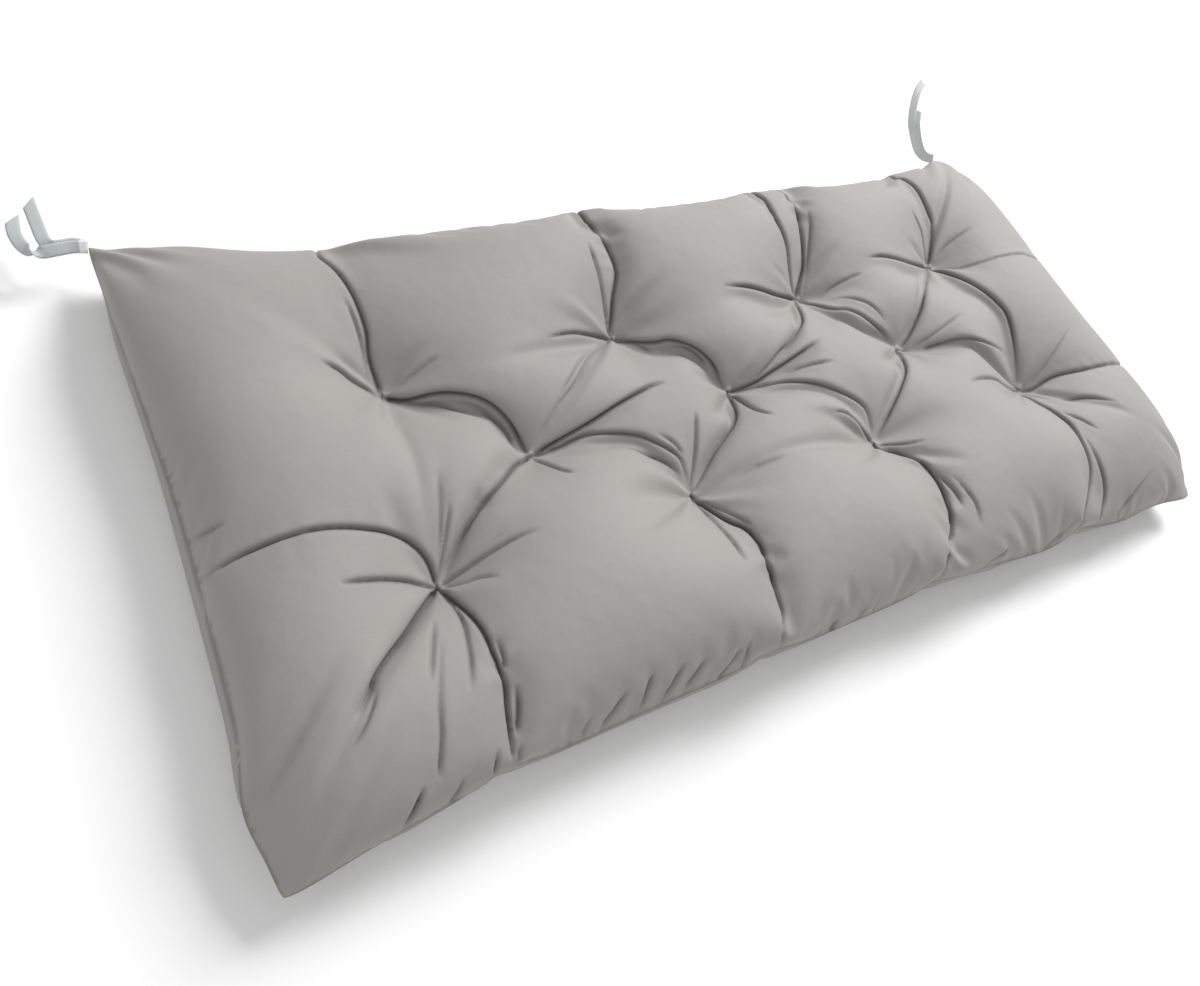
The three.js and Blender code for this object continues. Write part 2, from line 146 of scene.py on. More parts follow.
CREASE_COLUMNS = ("name", "pull", "depth", "places")
CREASE_ROWS = [
    # from the back row
    ("b1 to back", 1.0, 3.0, [
        "b1", (369, 359), (366, 332), (358, 307), (349, 288), (337, 271), (322, 259), "back",
    ]),
    ("by b1", 0.3, 1.5, [(368, 386), (365, 362), (359, 336), (351, 313), (343, 297)]),
    ("b1 ray", 0.4, 2.0, ["b1", (354, 382), (339, 370), (320, 360)]),
    ("by b1 2", 0.2, 1.0, [(391, 395), (406, 380), (427, 364), (439, 355)]),
    ("b1 to m1", 1.0, 3.5, ["b1", (406, 401), (442, 393), (481, 399), (507, 420), (523, 447), "m1"]),
    ("b1 ray 2", 0.4, 2.0, ["b1", (416, 404), (439, 405), (465, 412), (486, 418)]),
    ("by b1 3", 0.4, 2.0, [(454, 401), (477, 408), (492, 418), (504, 429), (513, 443), (521, 452)]),
    ("b2 to back", 1.0, 3.0, [
        "b2", (612, 302), (616, 278), (615, 266), (608, 249), (598, 233), (584, 220), "back",
    ]),
    ("b2 ray", 0.5, 2.0, ["b2", (604, 302), (600, 278), (593, 255), (587, 241)]),
    ("b2 ray 2", 0.6, 2.5, ["b2", (588, 335), (571, 333), (546, 338)]),
    ("b2 ray 3", 0.3, 1.5, ["b2", (592, 353), (576, 382), (553, 412)]),
    ("by b2", 0.2, 1.2, [(597, 345), (584, 355), (572, 376), (560, 396)]),
    ("b2 ray 4", 0.3, 1.5, ["b2", (633, 343), (658, 355)]),
    ("b2 to m2", 1.0, 3.0, [
        "b2", (650, 343), (668, 340), (682, 343), (697, 350), (712, 364), (719, 380), "m2",
    ]),
    ("by b2 2", 0.4, 2.0, [(668, 346), (684, 348), (697, 356), (708, 368)]),
    ("b3 to back", 0.8, 2.5, [
        "b3", (790, 272), (788, 251), (784, 235), (776, 219), (766, 202), "back",
    ]),
    ("b3 to back 2", 1.0, 3.0, [
        "b3", (802, 272), (803, 247), (800, 225), (795, 206), (786, 193), "back",
    ]),
    ("by b3", 0.4, 1.5, [(803, 296), (806, 272), (808, 247), (810, 225), (808, 211)]),
    ("b3 ray", 0.8, 3.0, ["b3", (776, 295), (762, 290), (744, 286), (723, 286)]),
    ("by b3 2", 0.3, 1.5, [(813, 302), (831, 288), (850, 278), (862, 273)]),
    ("b3 to m3", 0.8, 2.5, ["b3", (829, 309), (846, 309), (860, 314), (872, 323), (884, 334), "m3"]),
    ("by b3 3", 0.3, 1.5, [(823, 302), (842, 298), (860, 300), (875, 308), (886, 322)]),
    ("b3 ray 2", 0.6, 2.5, [
        "b3", (802, 319), (797, 331), (790, 343), (780, 352), (768, 366), (752, 382),
    ]),
    ("b4 to back", 0.9, 2.5, [
        "b4", (932, 232), (930, 218), (919, 193), (908, 182), (894, 176), (880, 175), "back",
    ]),
    ("b4 ray", 0.4, 2.0, ["b4", (923, 237), (919, 223), (912, 208)]),
    ("b4 ray 2", 0.6, 2.5, ["b4", (908, 262), (894, 258), (880, 256), (868, 258)]),
    ("b4 to f4", 1.0, 3.0, ["b4", (960, 278), (981, 289), (998, 303), (1008, 317), (1015, 350), "f4"]),
    ("b4 to m3", 0.8, 2.5, ["b4", (922, 303), (914, 324), (904, 343), "m3"]),
    ("b4 to right", 0.5, 1.5, [
        "b4", (958, 268), (979, 263), (998, 257), (1021, 253), (1032, 255), "right",
    ]),
    ("by b4", 0.2, 1.2, [(935, 261), (948, 244), (974, 226)]),
    # from the middle row
    ("m1 ray", 0.3, 2.0, ["m1", (559, 469), (574, 472)]),
    ("m1 ray 2", 1.0, 3.5, ["m1", (569, 435), (592, 422), (618, 405), (650, 386), (666, 382)]),
    ("m1 to f2", 0.8, 2.5, [
        "m1", (560, 447), (591, 434), (633, 435), (652, 441), (670, 450), (682, 462), "f2",
    ]),
    ("by m1", 0.4, 2.0, [(605, 445), (627, 447), (648, 455), (668, 464), (680, 476)]),
    ("by f2", 0.3, 1.5, [(656, 433), (674, 443), (684, 457)]),
    ("m1 to f1", 1.0, 3.0, ["m1", (515, 466), (504, 479), (488, 498), (473, 517), (457, 546), "f1"]),
    ("m2 to f2", 0.8, 2.5, ["m2", (736, 417), (723, 439), (711, 457), "f2"]),
    ("m2 ray", 1.0, 3.0, ["m2", (754, 384), (772, 372), (791, 360), (807, 349), (821, 339)]),
    ("by m2", 0.4, 2.0, [(780, 375), (805, 366), (835, 360)]),
    ("m2 ray 2", 0.4, 2.0, ["m2", (754, 409), (774, 414)]),
    ("m2 to f3", 0.8, 2.5, [
        "m2", (760, 386), (784, 382), (811, 383), (835, 390), (856, 400), (868, 413), "f3",
    ]),
    ("m3 ray", 0.7, 2.0, [
        "m3", (918, 350), (937, 345), (962, 339), (981, 341), (998, 348), (1009, 357),
    ]),
    ("by m3", 0.2, 1.2, [(911, 348), (927, 339), (948, 324), (962, 313)]),
    ("m3 to f3", 0.8, 2.5, ["m3", (905, 367), (902, 383), (894, 402), (885, 421), "f3"]),
    # from the front row
    ("f1 to left", 0.8, 3.0, [
        "f1", (424, 556), (393, 534), (340, 527), (294, 534), (239, 556), (205, 577), "left",
    ]),
    ("f1 ray", 0.6, 2.5, ["f1", (409, 582), (386, 580), (359, 581), (339, 584)]),
    ("f1 ray 2", 0.3, 1.5, ["f1", (444, 546), (447, 524), (450, 502)]),
    ("by f1", 0.2, 1.2, [(438, 570), (440, 538), (440, 498), (438, 470)]),
    ("f1 ray 3", 0.6, 3.5, [
        "f1", (418, 615), (403, 638), (389, 656), (376, 676), (369, 694), (356, 720),
    ]),
    ("by f1 2", 0.2, 1.5, [(378, 682), (373, 703), (365, 725), (351, 750)]),
    ("by f1 3", 0.2, 1.5, [(434, 619), (433, 641), (431, 683)]),
    ("by f1 4", 0.3, 2.0, [(441, 633), (440, 699), (442, 733), (440, 766), (438, 779)]),
    ("f1 ray 4", 0.4, 2.0, ["f1", (458, 612), (466, 634), (471, 663), (471, 692)]),
    ("f1 to front", 1.0, 3.5, [
        "f1", (478, 623), (498, 666), (505, 682), (507, 706), (511, 736), (514, 766), "front",
    ]),
    ("by f1 5", 0.3, 2.0, [(496, 638), (502, 655), (505, 672)]),
    ("by f1 6", 0.5, 2.5, [(516, 683), (518, 708), (516, 738)]),
    ("f1 ray 5", 0.4, 2.0, ["f1", (459, 574), (485, 556), (513, 539), (540, 528)]),
    ("f1 ray 6", 0.3, 1.5, ["f1", (462, 583), (481, 577), (502, 576)]),
    ("f2 ray", 0.4, 2.0, ["f2", (695, 451), (696, 425), (696, 412)]),
    ("by f2 2", 0.3, 1.5, [(735, 479), (754, 468), (772, 460), (786, 454)]),
    ("f2 to front", 1.0, 3.5, [
        "f2", (726, 520), (745, 528), (759, 543), (768, 564), (776, 591), (784, 618), (780, 648), "front",
    ]),
    ("f2 ray 2", 0.5, 2.0, ["f2", (719, 526), (734, 543), (747, 562)]),
    ("f2 ray 3", 0.3, 1.5, ["f2", (734, 516), (753, 526)]),
    ("f3 ray", 0.5, 2.5, ["f3", (866, 435), (858, 423), (846, 413), (833, 411)]),
    ("f3 ray 2", 0.3, 1.5, ["f3", (896, 445), (912, 443), (927, 439)]),
    ("f3 to front", 1.0, 3.5, [
        "f3", (902, 454), (923, 464), (940, 485), (950, 512), (952, 535), (948, 560), (940, 581), "front",
    ]),
    ("by f3", 0.5, 2.0, [(923, 464), (942, 479), (956, 493), (963, 508)]),
    ("by f3 2", 0.3, 1.5, [(952, 475), (967, 491), (977, 506), (981, 527)]),
    ("f4 ray", 0.4, 2.0, ["f4", (1005, 384), (996, 379), (981, 378), (970, 382)]),
    ("f4 to right", 0.8, 2.5, [
        "f4", (1031, 390), (1045, 381), (1059, 375), (1083, 370), (1099, 366), (1116, 363), "right",
    ]),
    ("f4 ray 2", 0.5, 2.0, ["f4", (1045, 399), (1069, 399), (1092, 398), (1118, 402)]),
    ("by f4", 0.2, 1.0, [(1026, 388), (1040, 372), (1054, 353), (1071, 327)]),
    ("by f4 2", 0.3, 1.5, [(1059, 412), (1080, 419), (1099, 430)]),
    ("f4 to front", 1.0, 3.0, [
        "f4", (1054, 412), (1073, 427), (1087, 452), (1091, 477), (1084, 516), (1074, 537), "front",
    ]),
    ("by f4 3", 0.5, 3.0, [(1082, 433), (1095, 453), (1103, 475), (1105, 495), (1101, 513), "front"]),
    # gathers along the seam
    ("front gather", 0.1, 3.0, [(425, 786), (418, 804), (407, 824), "front"]),
    ("front gather 2", 0.1, 2.5, [(466, 776), (456, 796), (450, 804), "front"]),
    ("front gather 3", 0.1, 2.0, [(499, 749), (496, 766), (494, 779), "front"]),
    ("front gather 4", 0.1, 1.5, [(523, 743), (518, 756), "front"]),
    ("front gather 5", 0.1, 1.5, [(592, 716), (584, 732), "front"]),
    ("front gather 6", 0.1, 2.0, [(629, 690), (616, 708), (602, 727), "front"]),
    ("front gather 7", 0.1, 2.0, [(654, 673), (650, 683), (642, 706), "front"]),
    ("front gather 8", 0.1, 2.0, [(686, 662), (676, 679), (663, 700), "front"]),
    ("front gather 9", 0.1, 2.0, [(707, 658), (698, 671), (686, 688), "front"]),
    ("front gather 10", 0.2, 3.0, [(743, 648), (730, 664), (717, 682), "front"]),
    ("front gather 11", 0.1, 2.0, [(751, 639), (747, 656), (742, 671), "front"]),
    ("front gather 12", 0.1, 2.0, [(839, 618), (830, 632), "front"]),
    ("front gather 13", 0.1, 1.5, [(870, 604), (858, 618), "front"]),
    ("front gather 14", 0.1, 2.0, [(1009, 548), (1004, 554), (990, 565), "front"]),
    ("front gather 15", 0.1, 1.5, [(1074, 521), (1059, 537), (1040, 552), "front"]),
    ("front gather 16", 0.1, 1.5, [(1154, 468), (1135, 492), (1118, 513), "front"]),
    ("left gather", 0.1, 1.5, [(225, 522), (211, 530), (194, 538), "left"]),
]
CREASES = [dict(zip(CREASE_COLUMNS, row)) for row in CREASE_ROWS]

# How each grid is let settle, from the coarse one to the fine one

COARSE_STEPS_ALONG = 45
COARSE_STEPS_ACROSS = 24
LEVEL_COLUMNS = ("rounds", "stiffness", "least_pull", "crease_pull", "crease_width")
LEVEL_ROWS = [
    (300, 0.20, 0.75, 0.15, 18.0),
    (300, 0.20, 0.55, 0.12, 9.0),
    (260, 0.15, 0.3, 0.10, 6.0),
    (120, 0.30, 0.0, 0.08, 4.0),
]
LEVELS = [dict(zip(LEVEL_COLUMNS, row)) for row in LEVEL_ROWS]
COARSE_STEP = 22.0
FILLING_PRESSURE = 0.08
FILLING_SOFTNESS = 9.0  # how far past its form the filling goes on pushing
FILLING_PUSH_MOST = 3.0
SPARE_CLOTH = 1.02  # how much longer the cut panel is than its filling's form
PATTERN_SHARE = 0.65
GATHER_CLOTH = 0.12  # spare cloth round each tuft, across the pull of its stitch
GATHER_REACH = 34.0
CORNER_CLOTH = 190.0
MOTION_KEPT = 0.96
SHEAR_STIFFNESS = 0.3
SHEAR_SQUEEZE = 0.06
SQUEEZE_STIFFNESS = 0.12
CREASE_CALM = 0.85  # how much less the cloth beside a crease resists being gathered in
CREASE_CALM_WIDTH = 14.0
LEAST_SPACING = 0.12
INNER_START = 25.0
INNER_WIDTH = 25.0
UNEVENNESS = 0.03
SEED = 7


# The outline and the form of the filling

TINY = 1e-9  # keeps a division by a length of nothing harmless
SMALL = 1e-6  # the same for the cloth's threads
SIDE_POWER = 3  # how close to a side its curve takes hold of the plan
CORNER_POWER = 4
PLATEAU_POWER = 4  # a bump with a flat middle and a quick fall
REACH_KEPT = 3.0  # widths of a fold past which it has no effect
FORM_FOLD_DEPTH = 0.25
FORM_FOLD_WIDTH = 14.0


def half_span(side):
    return LENGTH / 2 if side in ("front", "back") else DEPTH / 2


def notches_of(side):
    return [fold["end"][1] for fold in FOLDS if fold["end"][0] == side]


NOTCHES = {side: notches_of(side) for side in DRAWN_IN}


def left_bulge(at):
    share = np.clip((LEFT_BULGE_FROM - at) / LEFT_BULGE_RUN, 0, 1)
    return share * share * (3 - 2 * share)


def inward(side, at):
    """How far inward a side lies at a place along it."""
    share = np.abs(at) / half_span(side)
    from_corner = half_span(side) - np.abs(at)
    bow = DRAWN_IN[side] * (1 - share**DRAWN_IN_POWER)
    softening = np.where(at < 0, *CORNER_SOFTENING[side])
    corner = softening * np.exp(-from_corner / CORNER_REACH)
    if side == "left":
        bow = bow + LEFT_INSET * left_bulge(at)
    notches = sum(np.exp(-(((at - notch) / NOTCH_WIDTH) ** 2)) for notch in NOTCHES[side])
    for wave in SIDE_WAVES:
        if wave["side"] == side:
            bow = bow + wave["inward"] * np.exp(-(((at - wave["at"]) / wave["width"]) ** 2))
    return bow + corner + NOTCH_DEPTH[side] * notches


def plan_point(u, v):
    """A point of the plan from u and v, which run from -1 to 1 between the sides."""
    x = u * LENGTH / 2
    y = v * DEPTH / 2
    across = np.where(u < 0, inward("left", y), inward("right", y))
    along = np.where(v < 0, inward("front", x), inward("back", x))
    plan_x = x - across * np.abs(u) ** SIDE_POWER * np.sign(u)
    plan_y = y - along * np.abs(v) ** SIDE_POWER * np.sign(v)
    for (corner_u, corner_v), (shift_x, shift_y) in CORNER_SHIFTS:
        nearness = ((1 + u * corner_u) * (1 + v * corner_v) / 4) ** 2
        plan_x = plan_x + shift_x * nearness
        plan_y = plan_y + shift_y * nearness
    return plan_x, plan_y


def side_point(side, at):
    share = at / half_span(side)
    u, v = {
        "front": (share, -1.0),
        "back": (share, 1.0),
        "left": (-1.0, share),
        "right": (1.0, share),
    }[side]
    x, y = plan_point(np.float64(u), np.float64(v))
    return float(x), float(y)


def smooth_curve(places, steps):
    """Points of a smooth curve through some places."""
    knots = np.array([places[0]] + list(places) + [places[-1]], float)
    points = []
    for before, start, end, after in zip(knots, knots[1:], knots[2:], knots[3:]):
        for share in np.linspace(0, 1, steps, endpoint=False):
            slope = (end - before) * share
            curve = (2 * before - 5 * start + 4 * end - after) * share**2
            twist = (3 * start - before - 3 * end + after) * share**3
            points.append(start + (slope + curve + twist) / 2)
    points.append(knots[-1])
    return np.array(points)


def fold_path(fold):
    end = fold["end"]
    finish = TUFTS[end] if isinstance(end, str) else side_point(*end)
    return smooth_curve([TUFTS[fold["start"]]] + fold["via"] + [finish], FOLD_STEPS)


def nearest_on(points, path):
    """For each point, the nearest place of a path, how far it is, and its share of the way along."""
    distance = np.full(len(points), np.inf)
    along = np.zeros(len(points))
    place = np.zeros(points.shape)
    pieces = len(path) - 1
    for piece in range(pieces):
        run = path[piece + 1] - path[piece]
        share = np.clip((points - path[piece]) @ run / max(run @ run, TINY), 0, 1)
        here = path[piece] + share[:, None] * run
        away = np.linalg.norm(points - here, axis=1)
        closer = away < distance
        distance = np.where(closer, away, distance)
        along = np.where(closer, (piece + share) / pieces, along)
        place = np.where(closer[:, None], here, place)
    return distance, along, place


def near_path(points, path, reach):
    return np.all((points > path.min(0) - reach) & (points < path.max(0) + reach), axis=-1)


def add_fold(field, points, path, strength, width, fade_end, sharpness=2.0, fade_start=0.0):
    """Raises a field to a fold's strength near its path, where that is more than it has."""
    inside = near_path(points, path, REACH_KEPT * np.max(width))
    if not inside.any():
        return
    distance, along, place = nearest_on(points[inside], path)
    if np.ndim(width):
        width = width[inside]
    value = strength * np.exp(-((distance / width) ** sharpness))
    if fade_end > 0:
        value = value * np.clip((1 - along) / fade_end, 0, 1)
    if fade_start > 0:
        value = value * np.clip(along / fade_start, 0, 1)
    field[inside] = np.maximum(field[inside], value)


def swelling(distance):
    share = np.clip(distance / RIM_WIDTH, 0, 1)
    return (1 - (1 - share) ** 2) ** (1 / RIM_SHARPNESS)


def seam_height(u, v):
    return SEAM_HEIGHT - (SEAM_HEIGHT - SEAM_HEIGHT_CORNER) * np.abs(u * v) ** CORNER_POWER


def overhang(distance):
    share = np.clip(distance / OVERHANG_WIDTH, 0, 1)
    return 4 * share * (1 - share)


def from_sides(u, v):
    return (1 - np.abs(u)) * LENGTH / 2, (1 - np.abs(v)) * DEPTH / 2


def pits(x, y):
    kept = np.ones(x.shape)
    for tuft_x, tuft_y in TUFTS.values():
        kept = kept * (1 - PIT_DEPTH * np.exp(-np.hypot(x - tuft_x, y - tuft_y) / PIT_REACH))
    return kept


FOLD_PATHS = [(fold_path(fold), fold["pull"]) for fold in FOLDS]


def fold_field(x, y, width):
    """The strongest pull of any main fold at each point."""
    field = np.zeros(x.shape)
    points = np.stack([x, y], -1)
    for path, pull in FOLD_PATHS:
        add_fold(field, points, path, pull, width, 0)
    return field


def filling_form(u, v, x, y, upper, fold_depth):
    """The form that the filling gives one panel."""
    from_end, from_side = from_sides(u, v)
    rise = swelling(from_end) * swelling(from_side) * pits(x, y)
    if fold_depth > 0:
        rise = rise * (1 - fold_depth * fold_field(x, y, FORM_FOLD_WIDTH))
    if upper:
        low_x = (x - LOW_LOBE_AT[0]) / LOW_LOBE_REACH[0]
        low_y = (y - LOW_LOBE_AT[1]) / LOW_LOBE_REACH[1]
        low = np.hypot(low_x, low_y)
        rise = rise * (1 - LOW_LOBE_SHARE * np.exp(-(low**2)))
    standing_out = UPPER_OVERHANG if upper else UNDER_OVERHANG
    end = np.where(u < 0, standing_out["left"], standing_out["right"])
    bulge = 0
    if not upper:
        bulge = (u < 0) * LEFT_BULGE * left_bulge(y) * np.clip(from_side / BULGE_START, 0, 1)
    side = np.where(v < 0, standing_out["front"], standing_out["back"])
    out_x = np.sign(u) * (end * swelling(from_side) + bulge) * overhang(from_end)
    out_y = np.sign(v) * side * overhang(from_side) * swelling(from_end)
    if upper:
        return np.stack([x + out_x, y + out_y, seam_height(u, v) + CROWN * rise], -1)
    return np.stack([x + out_x, y + out_y, np.maximum(0, seam_height(u, v) - BELLY * rise)], -1)


# The photo's camera, in the cushion's millimetres

PHOTO_WIDTH = 1200.0
PHOTO_HEIGHT = 986.0
FOCAL_PIXELS = 873.3
CAMERA_AT = np.array([-520.209, -311.439, 633.738])
CAMERA_RIGHT = np.array([0.852041, -0.423819, 0.307252])
CAMERA_DOWN = np.array([-0.246498, -0.842635, -0.478753])
CAMERA_FORWARD = np.array([0.461806, 0.332181, -0.822430])
SEEN_WITHIN = 5.0  # pixels within which a point of the panel counts as seen there
SEEN_BLUR = 2.5
SAME_LAYER = 12.0  # millimetres of depth that belong to one layer of cloth
SEAM_ENDS = ("front", "back", "left", "right")
CREASE_STEPS = 6
CREASE_END = 0.25  # share of its length over which a crease runs out
CREASE_START = 0.4  # and over which one that starts away from the tufts comes in
PATH_EVENING_ROUNDS = 2


def seen_at(points):
    """The photo's pixel for each point, and its distance from the camera."""
    off = points - CAMERA_AT
    away = off @ CAMERA_FORWARD
    across = PHOTO_WIDTH / 2 + FOCAL_PIXELS * (off @ CAMERA_RIGHT) / away
    down = PHOTO_HEIGHT / 2 + FOCAL_PIXELS * (off @ CAMERA_DOWN) / away
    return np.stack([across, down], -1), away


def place_seen(place):
    """A tuft's pixel, or a pixel as it is."""
    return seen_at(np.array([*TUFTS[place], TUFT_TOP]))[0] if place in TUFTS else place


def laid_on(panel, pixels, away, places):
    """A crease's points on a panel, where the camera sees them."""
    corners = [place_seen(place) for place in places if place not in SEAM_ENDS]
    path = []
    for pixel in smooth_curve(corners, CREASE_STEPS):
        distance = np.linalg.norm(pixels - pixel, axis=1)
        seen = distance < max(SEEN_WITHIN, distance.min() + 1)
        nearest = np.min(away[seen])
        weight = np.exp(-((distance[seen] / SEEN_BLUR) ** 2)) * (away[seen] < nearest + SAME_LAYER)
        path.append(weight @ panel[seen] / max(weight.sum(), TINY))
    return np.array(path)


def run_to_seam(panel, start, side):
    """Points straight across the cloth from a place on it to the seam."""
    rows, columns = panel.shape[:2]
    row, column = np.unravel_index(np.argmin(length_of(panel - start)), (rows, columns))
    line = panel[:, column] if side in ("front", "back") else panel[row]
    begin = row if side in ("front", "back") else column
    return line[:begin][::-1] if side in ("front", "left") else line[begin + 1 :]


def crease_paths(panel):
    flat = panel.reshape(-1, 3)
    pixels, away = seen_at(flat)
    paths = []
    for crease in CREASES:
        path = laid_on(flat, pixels, away, crease["places"])
        end = crease["places"][-1]
        if end in SEAM_ENDS:
            path = np.concatenate([path, run_to_seam(panel, path[-1], end)])
        for _ in range(PATH_EVENING_ROUNDS):
            path[1:-1] = (path[:-2] + 2 * path[1:-1] + path[2:]) / 4
        paths.append(path)
    return paths


def crease_nearness(x, y, paths, width):
    field = np.zeros(x.shape)
    points = np.stack([x, y], -1)
    for path in paths:
        add_fold(field, points, path[:, :2], 1.0, width, 0)
    return field


def pull_field(x, y, paths, least_pull, width):
    """The strongest pull of any crease at each point."""
    field = np.zeros(x.shape)
    points = np.stack([x, y], -1)
    for crease, path in zip(CREASES, paths):
        if crease["pull"] > least_pull:
            add_fold(field, points, path[:, :2], crease["pull"], width, CREASE_END)
    return field


# The cut pattern: how long the cloth is between neighbouring points


def gathered(x, y, step_x, step_y):
    spare = np.zeros(x.shape)
    step = np.hypot(step_x, step_y)
    for tuft_x, tuft_y in TUFTS.values():
        off_x = x - tuft_x
        off_y = y - tuft_y
        off = np.hypot(off_x, off_y) + SMALL
        crossing = np.abs(off_x * step_y - off_y * step_x) / (off * step)
        spare = spare + np.exp(-((off / GATHER_REACH) ** 2)) * crossing**2
    return 1 + GATHER_CLOTH * spare


def length_of(steps):
    return np.linalg.norm(steps, axis=-1)


def cut_pattern(u, v, x, y, upper):
    form = filling_form(u, v, x, y, upper, 0.0)
    lengths_x = length_of(form[:, 1:] - form[:, :-1])
    lengths_y = length_of(form[1:] - form[:-1])
    column = np.quantile(lengths_x, PATTERN_SHARE, axis=0) * SPARE_CLOTH
    row = np.quantile(lengths_y, PATTERN_SHARE, axis=1) * SPARE_CLOTH
    from_end, from_side = from_sides(u, v)
    corner = np.exp(-((np.hypot(from_end, from_side) / CORNER_CLOTH) ** 2))
    corner_x = (corner[:, 1:] + corner[:, :-1]) / 2
    corner_y = (corner[1:] + corner[:-1]) / 2
    along = column[None, :] * (1 - corner_x) + lengths_x * corner_x
    across = row[:, None] * (1 - corner_y) + lengths_y * corner_y
    slant = np.hypot((along[1:] + along[:-1]) / 2, (across[:, 1:] + across[:, :-1]) / 2)

    def with_gathers(rest, first, second):
        middle_x = (x[first] + x[second]) / 2
        middle_y = (y[first] + y[second]) / 2
        return rest * gathered(middle_x, middle_y, x[second] - x[first], y[second] - y[first])

    cut = np.s_
    return {
        "along": with_gathers(along, cut[:, :-1], cut[:, 1:]),
        "across": with_gathers(across, cut[:-1], cut[1:]),
        "rising": with_gathers(slant, cut[:-1, :-1], cut[1:, 1:]),
        "falling": with_gathers(slant, cut[:-1, 1:], cut[1:, :-1]),
    }


# The cloth: points joined by threads, which are brought back to their cut length in turn


def thread_groups(pattern, columns, rows, calm):
    """Threads in groups that share no point: ends, length and stiffness when long and short."""
    cut = np.s_
    threads = []

    def add(first, second, rest, when_long, when_short):
        softened = when_short * np.minimum(calm[first], calm[second])
        threads.append((first, second, rest, when_long, softened))

    for first in (0, 1):
        add(
            cut[:, first:columns:2],
            cut[:, first + 1:columns + 1:2],
            pattern["along"][:, first::2],
            1.0,
            SQUEEZE_STIFFNESS,
        )
        add(
            cut[first:rows:2, :],
            cut[first + 1:rows + 1:2, :],
            pattern["across"][first::2, :],
            1.0,
            SQUEEZE_STIFFNESS,
        )
    for top in (0, 1):
        for left in (0, 1):
            add(
                cut[top:rows:2, left:columns:2],
                cut[top + 1:rows + 1:2, left + 1:columns + 1:2],
                pattern["rising"][top::2, left::2],
                SHEAR_STIFFNESS,
                SHEAR_SQUEEZE,
            )
            add(
                cut[top:rows:2, left + 1:columns + 1:2],
                cut[top + 1:rows + 1:2, left:columns:2],
                pattern["falling"][top::2, left::2],
                SHEAR_STIFFNESS,
                SHEAR_SQUEEZE,
            )
    return threads


def bend_groups(pattern, columns, rows, stiffness):
    """Threads past one point, which only resist being shortened, so the cloth doesn't kink."""
    cut = np.s_
    long_along = pattern["along"][:, :-1] + pattern["along"][:, 1:]
    long_across = pattern["across"][:-1] + pattern["across"][1:]
    threads = []
    for first in range(4):
        threads.append((
            cut[:, first:columns - 1:4],
            cut[:, first + 2:columns + 1:4],
            long_along[:, first::4],
            0.0,
            stiffness,
        ))
        threads.append((
            cut[first:rows - 1:4, :],
            cut[first + 2:rows + 1:4, :],
            long_across[first::4, :],
            0.0,
            stiffness,
        ))
    return threads


def tighten(points, freedom, thread):
    first, second, rest, when_long, when_short = thread
    span = points[second] - points[first]
    length = length_of(span)
    error = (length - rest) / np.maximum(length, SMALL)
    error = error * np.where(error > 0, when_long, when_short)
    free_first = freedom[first]
    free_second = freedom[second]
    share = (error / np.maximum(free_first + free_second, TINY))[..., None] * span
    points[first] += free_first[..., None] * share
    points[second] -= free_second[..., None] * share


def outward_normals(points, upper):
    along = np.gradient(points, axis=1)
    across = np.gradient(points, axis=0)
    normal = np.cross(along, across)
    normal /= np.maximum(length_of(normal), TINY)[..., None]
    return normal if upper else -normal


def keep_order(points, freedom, inner, axis):
    """Keeps neighbouring points of the panel's inner part in their order, so it never turns over."""
    whole = LENGTH if axis == 0 else DEPTH
    least = LEAST_SPACING * (whole / (points.shape[1 - axis] - 1))
    for first in (0, 1):
        if axis == 0:
            low = np.s_[:, first:-1:2]
            high = np.s_[:, first + 1::2]
        else:
            low = np.s_[first:-1:2, :]
            high = np.s_[first + 1::2, :]
        free_low = freedom[low]
        free_high = freedom[high]
        gap = least - (points[high][..., axis] - points[low][..., axis])
        gap = np.maximum(gap, 0) * np.minimum(inner[low], inner[high])
        share = gap / np.maximum(free_low + free_high, TINY)
        points[low + (axis,)] -= share * free_low
        points[high + (axis,)] += share * free_high


def settle(points, freedom, threads, form, inner, pull, upper, scale, rounds):
    """Lets one grid come to rest over the filling."""
    before = points.copy()
    free = (freedom > 0)[..., None]
    for _ in range(rounds):
        motion = (points - before) * MOTION_KEPT
        before = points.copy()
        if upper:
            push = 1 + (form[..., 2] - points[..., 2]) / FILLING_SOFTNESS
        else:
            push = np.ones(freedom.shape)
        push = np.clip(push, 0, FILLING_PUSH_MOST) * FILLING_PRESSURE * scale
        points += (motion + push[..., None] * outward_normals(points, upper)) * free
        points[..., 2] -= pull * scale * free[..., 0]
        for thread in threads + threads:
            tighten(points, freedom, thread)
        keep_order(points, freedom, inner, 0)
        keep_order(points, freedom, inner, 1)
        np.maximum(points[..., 2], 0, out=points[..., 2])
    return points


def doubled(points):
    """The same surface with a point added between each two, on a curve through four."""

    def with_middles(rows):
        padded = np.concatenate([2 * rows[:1] - rows[1:2], rows, 2 * rows[-1:] - rows[-2:-1]])
        middles = (9 * (padded[1:-2] + padded[2:-1]) - padded[:-3] - padded[3:]) / 16
        result = np.zeros((2 * len(rows) - 1,) + rows.shape[1:])
        result[::2] = rows
        result[1::2] = middles
        return result

    return with_middles(with_middles(points).transpose(1, 0, 2)).transpose(1, 0, 2).copy()


